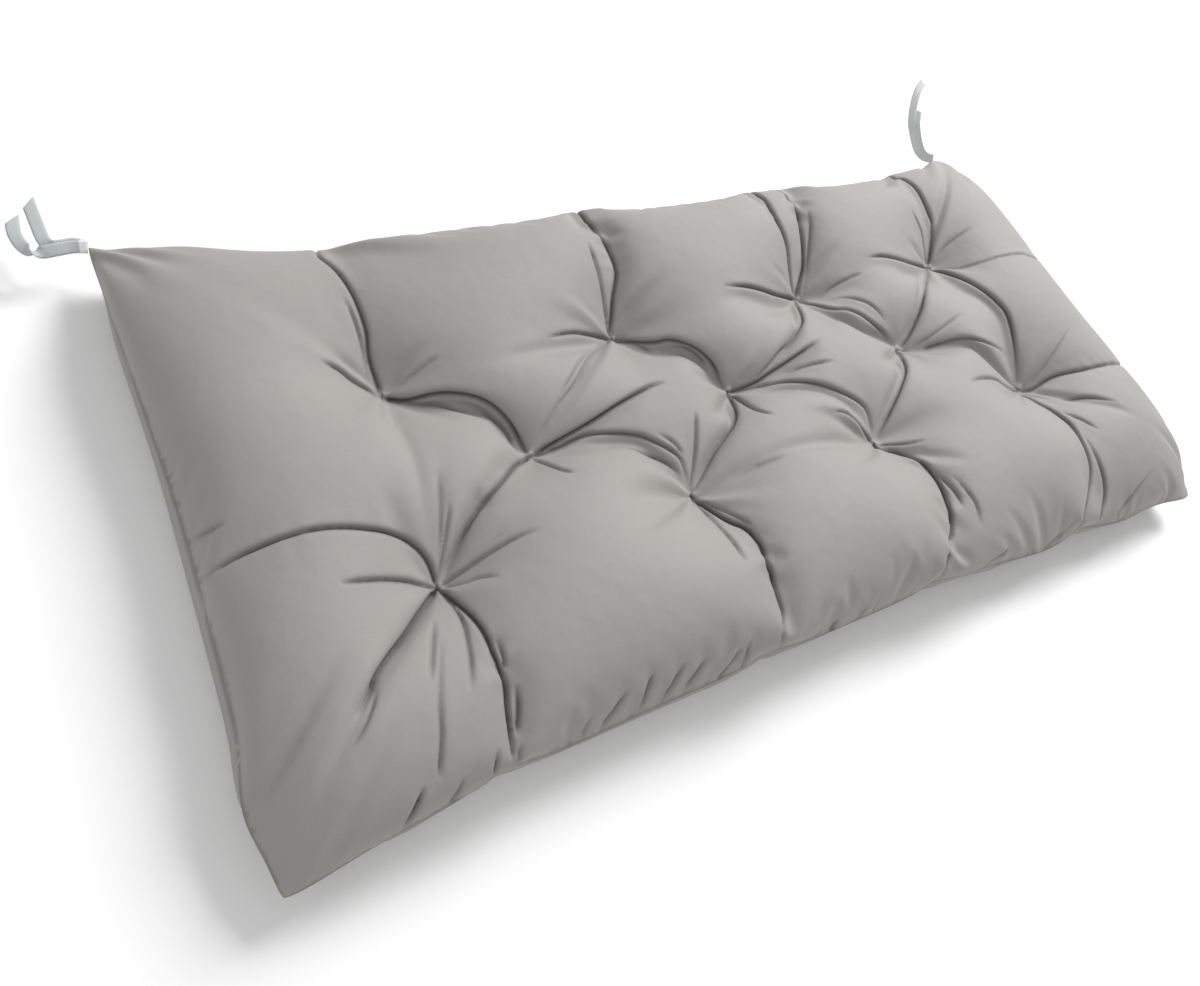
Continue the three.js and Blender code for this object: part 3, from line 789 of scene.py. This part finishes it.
def held_points(points, u, v, x, y, upper):
    """Fixes the seam and the tufts, and returns how free each point is."""
    freedom = np.ones(x.shape)
    rim = np.ones(x.shape, bool)
    rim[1:-1, 1:-1] = False
    points[rim] = np.stack([x, y, seam_height(u, v)], -1)[rim]
    freedom[rim] = 0
    height = TUFT_TOP if upper else TUFT_UNDER
    for tuft_x, tuft_y in TUFTS.values():
        distance = np.hypot(x - tuft_x, y - tuft_y)
        near = distance < TUFT_RADIUS
        points[near, 0] = (points[near, 0] + tuft_x) / 2
        points[near, 1] = (points[near, 1] + tuft_y) / 2
        points[near, 2] = height
        freedom[near] = 0
        stitch = np.unravel_index(np.argmin(distance), distance.shape)
        points[stitch] = (tuft_x, tuft_y, height)
        freedom[stitch] = 0
    return freedom


def grid_of(level):
    columns = COARSE_STEPS_ALONG * 2**level
    rows = COARSE_STEPS_ACROSS * 2**level
    return np.meshgrid(np.linspace(-1, 1, columns + 1), np.linspace(-1, 1, rows + 1))


def fine_form():
    u, v = grid_of(len(LEVELS) - 1)
    return filling_form(u, v, *plan_point(u, v), True, FORM_FOLD_DEPTH)


def settled_panel(upper, levels):
    """One panel of the cover after it has come to rest."""
    uneven = np.random.default_rng(SEED)
    points = None
    paths = crease_paths(fine_form()) if upper else []
    for level in range(levels):
        row = LEVELS[level]
        u, v = grid_of(level)
        rows, columns = u.shape[0] - 1, u.shape[1] - 1
        step = LENGTH / columns
        scale = (step / COARSE_STEP) ** 2
        x, y = plan_point(u, v)
        form = filling_form(u, v, x, y, upper, FORM_FOLD_DEPTH if upper else 0.0)
        points = form.copy() if points is None else doubled(points)
        points[..., 2] += uneven.normal(0, UNEVENNESS * step, x.shape)
        freedom = held_points(points, u, v, x, y, upper)
        pattern = cut_pattern(u, v, x, y, upper)
        calm = 1 - CREASE_CALM * crease_nearness(x, y, paths, CREASE_CALM_WIDTH)
        threads = thread_groups(pattern, columns, rows, calm)
        threads += bend_groups(pattern, columns, rows, row["stiffness"])
        inner = np.clip((np.minimum(*from_sides(u, v)) - INNER_START) / INNER_WIDTH, 0, 1)
        pull = np.zeros(x.shape)
        if upper:
            width = max(row["crease_width"], step)
            field = pull_field(x, y, paths, row["least_pull"], width)
            pull = row["crease_pull"] * field * COARSE_STEP / step
        points = settle(points, freedom, threads, form, inner, pull, upper, scale, row["rounds"])
    return points


# The sharp lines of the folds, and the pinch of cloth at each tuft

CREASE_WIDTH = 1.7
CREASE_WIDTH_MOST = 7.0
CREASE_SHARPNESS = 1.3
LIP_SHARPNESS = 2.0
CREASE_DEEPER = 1.5
SMOOTHING_ROUNDS = 3
SNAP_TAKEN = 0.1
SNAP_SPACING_MOST = 1.8
SNAP_WIDTH = 0.8  # how near a crease's line the points of the grid are drawn onto it
CREASE_LIP = 0.35  # share of the crease's depth by which the cloth beside it stands up
CREASE_LIP_WIDTH = 9.0
PINCH_HEIGHT = 2.4
PINCH_RADIUS = 4.2
LOWEST_TOP = 22.0  # the upper panel never comes down as far as the lower one
# Where the photo's cloth lies plain, and the settled cloth is smoothed more
PLAIN_CLOTH = [
    {"name": "lobe at the back left", "at": (-392, 168), "reach": (62, 44)},
    {"name": "beside b1", "at": (-366, 126), "reach": (32, 30)},
    {"name": "in front of f4", "at": (330, -214), "reach": (30, 42)},
    {"name": "between m1 and f1", "at": (-250, -62), "reach": (32, 30)},
]
PLAIN_ROUNDS = 80


def spacing(points):
    """How far apart the points of the grid lie on the settled cloth."""
    return np.maximum(length_of(np.gradient(points, axis=0)), length_of(np.gradient(points, axis=1)))


def crease_depth(points, paths):
    """How far each point sinks into a crease, and how far the cloth beside a crease stands up."""
    sunk = np.zeros(points.shape[:2])
    lip = np.zeros(points.shape[:2])
    width = np.clip(spacing(points), CREASE_WIDTH, CREASE_WIDTH_MOST)
    for crease, path in zip(CREASES, paths):
        start = 0.0 if crease["places"][0] in TUFTS else CREASE_START
        sinking = crease["depth"] * CREASE_DEEPER
        rising = crease["depth"] * CREASE_LIP
        add_fold(sunk, points, path, sinking, width, CREASE_END, CREASE_SHARPNESS, start)
        add_fold(lip, points, path, rising, CREASE_LIP_WIDTH, CREASE_END, LIP_SHARPNESS, start)
    return sunk, lip


def plainness(points):
    """How plainly the cloth lies in the photo at each inner point, from 0 to 1."""
    plain = np.zeros(points.shape[:2])
    for area in PLAIN_CLOTH:
        off = (points[..., :2] - np.array(area["at"])) / np.array(area["reach"])
        plain = np.maximum(plain, np.exp(-(length_of(off) ** PLATEAU_POWER)))
    return plain[1:-1, 1:-1, None]


def smoothed(points):
    """Evens out what is as fine as the grid, and more where the cloth lies plain."""
    plain = plainness(points)
    for count in range(PLAIN_ROUNDS):
        share = 1 if count < SMOOTHING_ROUNDS else plain
        middle = (points[:-2, 1:-1] + points[2:, 1:-1] + points[1:-1, :-2] + points[1:-1, 2:]) / 4
        points[1:-1, 1:-1] += share * (middle - points[1:-1, 1:-1]) / 2
    return points


def drawn_onto_creases(points, paths):
    """Moves the points nearest to each crease sideways onto its line, so the line is sharp."""
    moved = points.copy()
    taken = spacing(points) > SNAP_SPACING_MOST
    deepest_first = np.argsort([-crease["depth"] for crease in CREASES], kind="stable")
    for index in deepest_first:
        path = paths[index]
        inside = near_path(points, path, REACH_KEPT * SNAP_WIDTH) & ~taken
        inside[[0, -1]] = False
        inside[:, [0, -1]] = False
        if not inside.any():
            continue
        distance, along, place = nearest_on(points[inside], path)
        share = np.exp(-((distance / SNAP_WIDTH) ** PLATEAU_POWER)) * (along > 0) * (along < 1)
        moved[inside] += share[:, None] * (place - points[inside])
        taken[inside] |= share > SNAP_TAKEN
    return moved


def pinch(points):
    rise = np.zeros(points.shape[:2])
    for tuft_x, tuft_y in TUFTS.values():
        distance = np.hypot(points[..., 0] - tuft_x, points[..., 1] - tuft_y)
        standing = PINCH_HEIGHT * np.exp(-((distance / PINCH_RADIUS) ** PLATEAU_POWER))
        rise = np.maximum(rise, standing)
    return rise


def creased(points):
    points = smoothed(points)
    paths = crease_paths(points)
    points = doubled(points)
    normals = outward_normals(points, True)
    points = drawn_onto_creases(points, paths)
    depth, lip = crease_depth(points, paths)
    free = np.ones(depth.shape)
    free[0] = free[-1] = 0
    free[:, 0] = free[:, -1] = 0
    moved = (lip - depth + pinch(points)) * free
    points = points + moved[..., None] * normals
    points[..., 2] = np.maximum(points[..., 2], LOWEST_TOP)
    return points, depth


# Meshes

SEAM_SURE = 0.999  # a thinned point with more than this of the seam lies on it
TRIANGLES_MOST = 185000
SEAM_SHADE = 3.0  # painted shade along the seam's line, as dark as in a crease of this depth


def to_row(points):
    """From the cushion's millimetres to the row's metres."""
    shifted = np.array(points, float)
    shifted[..., 0] += CUSHION_MIDDLE[0]
    shifted[..., 1] += CUSHION_MIDDLE[1]
    return shifted * MM


def new_object(name, vertices, faces, material):
    mesh = bpy.data.meshes.new(name)
    mesh.from_pydata([tuple(point) for point in vertices], [], faces)
    mesh.validate()
    mesh.materials.append(material)
    mesh.polygons.foreach_set("use_smooth", np.ones(len(mesh.polygons), bool))
    mesh.update()
    piece = bpy.data.objects.new(name, mesh)
    bpy.context.scene.collection.objects.link(piece)
    return piece


def panel_faces(index):
    corners = [index[:-1, :-1], index[:-1, 1:], index[1:, 1:], index[1:, :-1]]
    return np.stack(corners, -1).reshape(-1, 4).tolist()


def under_faces(under, rim):
    """The underside's faces, each turned down, with the seam's extra points taken in."""
    rows, columns = under.shape
    faces = []
    for j in range(rows - 1):
        for i in range(columns - 1):
            face = [under[j, i]]
            if j == 0:
                face.append(rim[0, 2 * i + 1])
            face.append(under[j, i + 1])
            if i == columns - 2:
                face.append(rim[2 * j + 1, -1])
            face.append(under[j + 1, i + 1])
            if j == rows - 2:
                face.append(rim[-1, 2 * i + 1])
            face.append(under[j + 1, i])
            if i == 0:
                face.append(rim[2 * j + 1, 0])
            faces.append([int(corner) for corner in reversed(face)])
    return faces


def add_point_values(mesh, name, values):
    layer = mesh.attributes.new(name, "FLOAT", "POINT")
    layer.data.foreach_set("value", np.asarray(values, np.float32))


def add_cloth_map(mesh, coordinates):
    """Where each point lies on the flat cloth, in metres, for the weave."""
    layer = mesh.uv_layers.new(name="cloth")
    corners = np.zeros(len(mesh.loops), np.int32)
    mesh.loops.foreach_get("vertex_index", corners)
    layer.data.foreach_set("uv", coordinates[corners].astype(np.float32).ravel())


def point_values(mesh, name):
    values = np.zeros(len(mesh.vertices), np.float32)
    mesh.attributes[name].data.foreach_get("value", values)
    return values


def sharpen_seam(mesh):
    ends = np.zeros(len(mesh.edges) * 2, np.int32)
    mesh.edges.foreach_get("vertices", ends)
    is_seam = point_values(mesh, "seam") > SEAM_SURE
    layer = mesh.attributes.new("sharp_edge", "BOOLEAN", "EDGE")
    layer.data.foreach_set("value", is_seam[ends.reshape(-1, 2)].all(axis=1))


def thinned(piece):
    """Takes faces out where the cloth is smooth, and keeps its fine creases."""
    triangles = sum(len(face.vertices) - 2 for face in piece.data.polygons)
    if triangles < TRIANGLES_MOST:
        return
    thinner = piece.modifiers.new("thinner", "DECIMATE")
    thinner.ratio = TRIANGLES_MOST / triangles
    graph = bpy.context.evaluated_depsgraph_get()
    mesh = bpy.data.meshes.new_from_object(piece.evaluated_get(graph))
    piece.modifiers.clear()
    piece.data = mesh


def finest_u_and_v(points):
    rows, columns = points.shape[:2]
    return np.meshgrid(np.linspace(-1, 1, columns), np.linspace(-1, 1, rows))


def cushion_cover(material):
    fine = len(LEVELS) - 0
    top, depth = creased(settled_panel(True, fine))
    under = settled_panel(False, fine - 1)
    under = doubled(under)
    u, v = finest_u_and_v(top)
    under_u, under_v = finest_u_and_v(under)
    index = np.arange(u.size).reshape(u.shape)
    under_index = np.zeros(under_u.shape, int)
    under_index[:] = index[::2, ::2]
    inner_count = under_index[1:-1, 1:-1].size
    under_index[1:-1, 1:-1] = u.size + np.arange(inner_count).reshape(under_u[1:-1, 1:-1].shape)
    vertices = np.concatenate([top.reshape(-1, 3), under[1:-1, 1:-1].reshape(-1, 3)])
    faces = panel_faces(index) + under_faces(under_index, index)
    piece = new_object("cushion_cover", to_row(vertices), faces, material)
    all_u = np.concatenate([u.ravel(), under_u[1:-1, 1:-1].ravel()])
    all_v = np.concatenate([v.ravel(), under_v[1:-1, 1:-1].ravel()])
    is_seam = (np.abs(all_u) > 1 - TINY) | (np.abs(all_v) > 1 - TINY)
    # Painted shade for the cloth's colour: each crease's depth on the upper panel, and a fixed depth
    # along the seam
    painted_shade = np.concatenate([depth.ravel(), np.zeros(inner_count)])
    painted_shade[is_seam] = SEAM_SHADE
    add_cloth_map(piece.data, np.stack([all_u * LENGTH / 2, all_v * DEPTH / 2], -1) * MM)
    add_point_values(piece.data, "crease", painted_shade)
    add_point_values(piece.data, "seam", is_seam)
    thinned(piece)
    sharpen_seam(piece.data)
    return piece


# The ties: the tape and where the middle line of each tail runs

TAPE_WIDTH = 10.0
TAPE_THICKNESS = 1.2
TAPE_STEPS = 60
TAPE_CURVE_STEPS = 40
TAPE_ACROSS = 6
EDGE_THICKNESS = 0.55  # share of the thickness that the tape's edges keep
CUT_FROM = 0.75  # share of a tail's length from which its slanted cut is drawn out
TURN_LENGTH = 14.0  # a tail that is turned over turns within this length
# faces is where the tape's flat side looks, and patch how much of its sewn end is bare white. The
# next value is painted light: how much whiter the rest of the tape is painted, for how brightly it is
# lit.
# cut is how much longer one edge of a tail is at its cut end.
TIES = {
    "tie_left": {
        "faces": (0.0, -0.70, 0.71),
        "patch": 5.5,
        "painted_light": 0.0,
        "tails": [
            {
                "cut": -9.0,
                "turned_at": None,
                "middle": [
                    (-498.2, 258.9, 29.4), (-508, 262, 30), (-516, 261, 30.5), (-523, 261.5, 31),
                    (-527, 268, 32), (-528.5, 282, 34.5), (-530, 302, 38),
                ],
            },
            {
                "cut": 9.0,
                "turned_at": 38.0,
                "middle": [
                    (-498.6, 258.3, 29.4), (-509, 259.5, 30), (-520, 257, 31.5), (-530, 256, 31.5),
                    (-538, 259, 31), (-543, 267, 31), (-545, 278, 32), (-544, 290, 34),
                ],
            },
        ],
    },
    "tie_right": {
        "faces": (-0.77, -0.46, 0.44),
        "patch": 0.0,
        # Painted light: this tie's whole tape is painted whiter, for the brighter light on it
        "painted_light": 0.35,
        "tails": [
            {
                "cut": 4.5,
                "turned_at": None,
                "middle": [
                    (499.2, 259.9, 29.3), (494, 267, 27), (488, 275, 30), (482, 286, 40),
                    (480, 299, 51), (486, 314, 61),
                ],
            },
            {
                "cut": 4.5,
                "turned_at": None,
                "middle": [
                    (499.9, 259.2, 28.6), (492, 268, 25.5), (485, 278, 29), (479, 290, 39),
                    (476, 304, 50), (482, 320, 61), (492, 335, 72), (505, 345, 79),
                ],
            },
        ],
    },
}


def smooth_path(places, steps):
    """Evenly spaced points and directions on a smooth curve through some places."""
    fine = smooth_curve(places, TAPE_CURVE_STEPS)
    run = np.concatenate([[0], np.cumsum(length_of(fine[1:] - fine[:-1]))])
    even = np.linspace(0, run[-1], steps + 1)
    points = np.stack([np.interp(even, run, fine[:, axis]) for axis in range(3)], -1)
    directions = np.gradient(points, axis=0)
    return points, directions / length_of(directions)[:, None], run[-1]


def tail_mesh(tail, facing, first_index):
    """Vertices, faces and flat places of one tail, as a closed strip with woven edges."""
    points, along, length = smooth_path(tail["middle"], TAPE_STEPS)
    wide = np.cross(facing, along)
    wide /= length_of(wide)[:, None]
    thick = np.cross(along, wide)
    if tail["turned_at"] is not None:
        run = np.linspace(0, length, TAPE_STEPS + 1)
        share = np.clip((run - tail["turned_at"]) / TURN_LENGTH + 0.5, 0, 1)[:, None]
        turn = math.pi * share * share * (3 - 2 * share)
        wide = wide * np.cos(turn) + thick * np.sin(turn)
        thick = np.cross(along, wide)
    vertices = []
    flat = []
    shares = np.linspace(-1, 1, TAPE_ACROSS + 1)
    for step in range(TAPE_STEPS + 1):
        far = step / TAPE_STEPS
        slant = tail["cut"] / 2 * max(0.0, (far - CUT_FROM) / (1 - CUT_FROM))
        for face in (1, -1):
            for share in shares * face:
                full = 1 - share**PLATEAU_POWER
                edge = TAPE_THICKNESS / 2 * (EDGE_THICKNESS + (1 - EDGE_THICKNESS) * full)
                point = points[step] + wide[step] * share * TAPE_WIDTH / 2
                point = point + thick[step] * face * edge + along[step] * share * slant
                vertices.append(point)
                flat.append(((share + 1) / 2 * TAPE_WIDTH * MM, far * length * MM))
    ring = 2 * (TAPE_ACROSS + 1)
    faces = []
    for step in range(TAPE_STEPS):
        for corner in range(ring):
            a = first_index + step * ring + corner
            b = first_index + step * ring + (corner + 1) % ring
            faces.append([a, b, b + ring, a + ring])
    last = first_index + TAPE_STEPS * ring
    faces.append(list(range(first_index + ring - 1, first_index - 1, -1)))
    faces.append(list(range(last, last + ring)))
    return vertices, faces, flat, length


def tie(name, material):
    vertices, faces, flat, total = [], [], [], 0.0
    row = TIES[name]
    for tail in row["tails"]:
        more = tail_mesh(tail, row["faces"], len(vertices))
        vertices += more[0]
        faces += more[1]
        flat += more[2]
        total += more[3]
    piece = new_object(name + "_tape", to_row(vertices), faces, material)
    flat = np.array(flat)
    add_cloth_map(piece.data, flat)
    # The patch value is 1 on the bare white end, and elsewhere the tie's share of painted light
    add_point_values(piece.data, "patch", np.where(flat[:, 1] < row["patch"] * MM, 1, row["painted_light"]))
    return piece, total * MM


# Materials


class Nodes:
    """Short ways to add and join the nodes of one material."""

    def __init__(self, name):
        self.material = bpy.data.materials.new(name)
        self.material.use_nodes = True
        self.tree = self.material.node_tree
        self.shader = self.tree.nodes["Principled BSDF"]

    def add(self, kind, inputs=None, **settings):
        node = self.tree.nodes.new(kind)
        for key, value in settings.items():
            setattr(node, key, value)
        for key, value in (inputs or {}).items():
            self.feed(node.inputs[key], value)
        return node

    def feed(self, socket, value):
        if isinstance(value, bpy.types.NodeSocket):
            self.tree.links.new(value, socket)
        else:
            socket.default_value = value

    def math(self, operation, *values):
        return self.add("ShaderNodeMath", dict(enumerate(values)), operation=operation).outputs[0]

    def set(self, **inputs):
        for key, value in inputs.items():
            self.feed(self.shader.inputs[key.replace("_", " ")], value)


WAVE_FACTOR = 20.0  # radians that the wave texture turns through in each unit
WEAVE_DISTORTION = 0.6
COVER_THREADS = (0.0007, 0.0007)  # metres from thread to thread, across and along
TAPE_THREADS = (0.0011, 0.0006)
COVER_LIGHT = (0.342, 0.333, 0.314, 1.0)
COVER_DARK = (0.252, 0.243, 0.229, 1.0)
# Painted shade: the cloth's colour is darkened towards this in its creases and along the seam, where
# shade falls
COVER_PAINTED_SHADE = (0.080, 0.075, 0.070, 1.0)
PAINTED_SHADE_PER_MM = 0.2  # of the way to the painted shade's colour for each millimetre of a crease's depth
TAPE_LIGHT = (0.540, 0.575, 0.575, 1.0)
TAPE_DARK = (0.390, 0.425, 0.420, 1.0)
# The white of the bare patch, and the painted light that whitens the right tie's tape
TAPE_PATCH_AND_PAINTED_LIGHT = (0.80, 0.82, 0.82, 1.0)
# How many of a noise's grains lie in a metre, and how fine its detail goes
SLUBS = {"Scale": 900.0, "Detail": 2.0}
CLOUDS = {"Scale": 9.0, "Detail": 3.0}
RUMPLES = {"Scale": 38.0, "Detail": 2.0}
FIBRES = {"Scale": 500.0, "Detail": 2.0}
# How strong and how high, in metres, each bump is
COVER_WEAVE_BUMP = {"Strength": 0.35, "Distance": 0.00012}
COVER_RUMPLE_BUMP = {"Strength": 0.25, "Distance": 0.004}
TAPE_WEAVE_BUMP = {"Strength": 0.5, "Distance": 0.0002}
SLUB_SHARE = 0.5
CLOUD_SHARE = 0.5
MIX_LOW = 6  # places of a colour mix's two colours and of its result
MIX_HIGH = 7
MIX_RESULT = 2


def noise(nodes, place, grain):
    return nodes.add("ShaderNodeTexNoise", {"Vector": place, **grain}).outputs["Fac"]


def point_value(nodes, name):
    return nodes.add("ShaderNodeAttribute", attribute_name=name).outputs["Fac"]


def woven_height(nodes, place, pitches):
    """The height of a plain weave, whose threads lie this far apart across and along."""
    threads = []
    for direction, pitch in zip("XY", pitches):
        scale = 2 * math.pi / (WAVE_FACTOR * pitch)
        look = {"Vector": place, "Scale": scale, "Distortion": WEAVE_DISTORTION, "Detail": 1.0}
        wave = nodes.add("ShaderNodeTexWave", look, bands_direction=direction)
        threads.append(wave.outputs["Fac"])
    return nodes.math("ADD", *threads)


def colour_between(nodes, share, low, high):
    mix = nodes.add("ShaderNodeMix", data_type="RGBA")
    nodes.feed(mix.inputs["Factor"], share)
    nodes.feed(mix.inputs[MIX_LOW], low)
    nodes.feed(mix.inputs[MIX_HIGH], high)
    return mix.outputs[MIX_RESULT]


def cover_material():
    nodes = Nodes("cover_cloth")
    place = nodes.add("ShaderNodeUVMap", uv_map="cloth").outputs[0]
    body = nodes.add("ShaderNodeTexCoord").outputs["Object"]
    share = nodes.math("MULTIPLY_ADD", noise(nodes, place, SLUBS), SLUB_SHARE, 0.0)
    share = nodes.math("MULTIPLY_ADD", noise(nodes, body, CLOUDS), CLOUD_SHARE, share)
    base = colour_between(nodes, share, COVER_DARK, COVER_LIGHT)
    # Painted shade: darker the deeper the crease, and along the seam
    shade_share = nodes.math("MULTIPLY", point_value(nodes, "crease"), PAINTED_SHADE_PER_MM)
    colour = colour_between(nodes, shade_share, base, COVER_PAINTED_SHADE)
    weave = {"Height": woven_height(nodes, place, COVER_THREADS), **COVER_WEAVE_BUMP}
    rough = nodes.add("ShaderNodeBump", weave)
    rumple = {"Height": noise(nodes, body, RUMPLES), **COVER_RUMPLE_BUMP}
    soft = nodes.add("ShaderNodeBump", {"Normal": rough.outputs[0], **rumple})
    nodes.set(Base_Color=colour, Roughness=0.62, Normal=soft.outputs[0])
    nodes.set(Sheen_Weight=0.1, Sheen_Roughness=0.45, Specular_IOR_Level=0.3)
    return nodes.material


def tape_material():
    nodes = Nodes("tie_tape")
    place = nodes.add("ShaderNodeUVMap", uv_map="cloth").outputs[0]
    base = colour_between(nodes, noise(nodes, place, FIBRES), TAPE_DARK, TAPE_LIGHT)
    weave = {"Height": woven_height(nodes, place, TAPE_THREADS), **TAPE_WEAVE_BUMP}
    bump = nodes.add("ShaderNodeBump", weave)
    # Towards white on the bare patch, and by painted light all over the right tie's tape
    colour = colour_between(nodes, point_value(nodes, "patch"), base, TAPE_PATCH_AND_PAINTED_LIGHT)
    nodes.set(Base_Color=colour, Roughness=0.55, Normal=bump.outputs[0], Sheen_Weight=0.3)
    return nodes.material


def plain_material(name, colour, roughness):
    nodes = Nodes(name)
    nodes.set(Base_Color=colour, Roughness=roughness)
    return nodes.material


# Floor, light and camera

FLOOR_COLOUR = (0.90, 0.90, 0.90, 1.0)
FLOOR_ROUGHNESS = 0.9
FLOOR_HALF = 4.0
LIGHTS = [
    {"name": "key", "at": (3.0, 1.8, 2.9), "size": 1.9, "power": 235.0},
    {"name": "fill", "at": (-1.8, -1.2, 1.6), "size": 2.0, "power": 8.0},
]
WORLD_STRENGTH = 0.55

SENSOR_WIDTH = 36.0


def add_floor():
    corners = [(-1, -1), (1, -1), (1, 1), (-1, 1)]
    vertices = [(x * FLOOR_HALF, y * FLOOR_HALF, 0.0) for x, y in corners]
    material = plain_material("floor", FLOOR_COLOUR, FLOOR_ROUGHNESS)
    floor = new_object("floor", vertices, [[0, 1, 2, 3]], material)


def add_lights():
    for row in LIGHTS:
        light = bpy.data.lights.new(row["name"], "AREA")
        light.size = row["size"]
        light.energy = row["power"]
        lamp = bpy.data.objects.new(row["name"], light)
        lamp.location = row["at"]
        lamp.rotation_euler = (-Vector(row["at"])).to_track_quat("-Z", "Y").to_euler()
        bpy.context.scene.collection.objects.link(lamp)
    world = bpy.data.worlds.new("studio")
    world.use_nodes = True
    background = world.node_tree.nodes["Background"]
    background.inputs["Color"].default_value = (1.0, 1.0, 1.0, 1.0)
    background.inputs["Strength"].default_value = WORLD_STRENGTH
    bpy.context.scene.world = world


def add_camera():
    camera = bpy.data.cameras.new("camera")
    camera.sensor_width = SENSOR_WIDTH
    camera.lens = SENSOR_WIDTH * FOCAL_PIXELS / PHOTO_WIDTH
    holder = bpy.data.objects.new("camera", camera)
    axes = (Vector(CAMERA_RIGHT), -Vector(CAMERA_DOWN), -Vector(CAMERA_FORWARD))
    turned = Matrix([axis.normalized() for axis in axes]).transposed().to_4x4()
    turned.translation = Vector(to_row(np.array(CAMERA_AT)).tolist())
    holder.matrix_world = turned
    bpy.context.scene.collection.objects.link(holder)
    bpy.context.scene.camera = holder
    bpy.context.scene.view_settings.view_transform = "Standard"


# The scene

cover = cushion_cover(cover_material())
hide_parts("cushion")
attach(cover, "root")

tape = tape_material()
for tie_name in TIES:
    piece, tape_length = tie(tie_name, tape)
    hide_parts(tie_name)
    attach(piece, "root")

add_floor()
add_lights()
add_camera()
